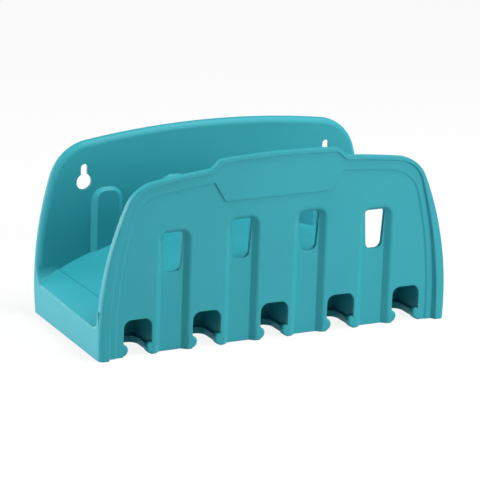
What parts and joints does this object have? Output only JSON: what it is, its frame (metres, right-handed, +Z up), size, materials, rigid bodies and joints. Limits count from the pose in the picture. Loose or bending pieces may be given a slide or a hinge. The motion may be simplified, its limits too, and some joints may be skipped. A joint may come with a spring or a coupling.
{
  "type": "hose hanger",
  "caption": "Moulded plastic wall bracket with an arched saddle for a coiled hose, upright front and back plates, retaining pockets for hose fittings and two keyholes for screws",
  "frame": {"origin": "midway between the round entries of the two keyholes, on the wall side of the back plate", "axes": "+X across the hanger, +Y out of the back towards the wall, +Z up"},
  "size_m": [0.258, 0.1146, 0.1288],
  "materials": {
    "moulded_plastic": "satin"
  },
  "bodies": {
    "root": {"hose_hanger": "moulded_plastic"}
  },
  "joints": []
}
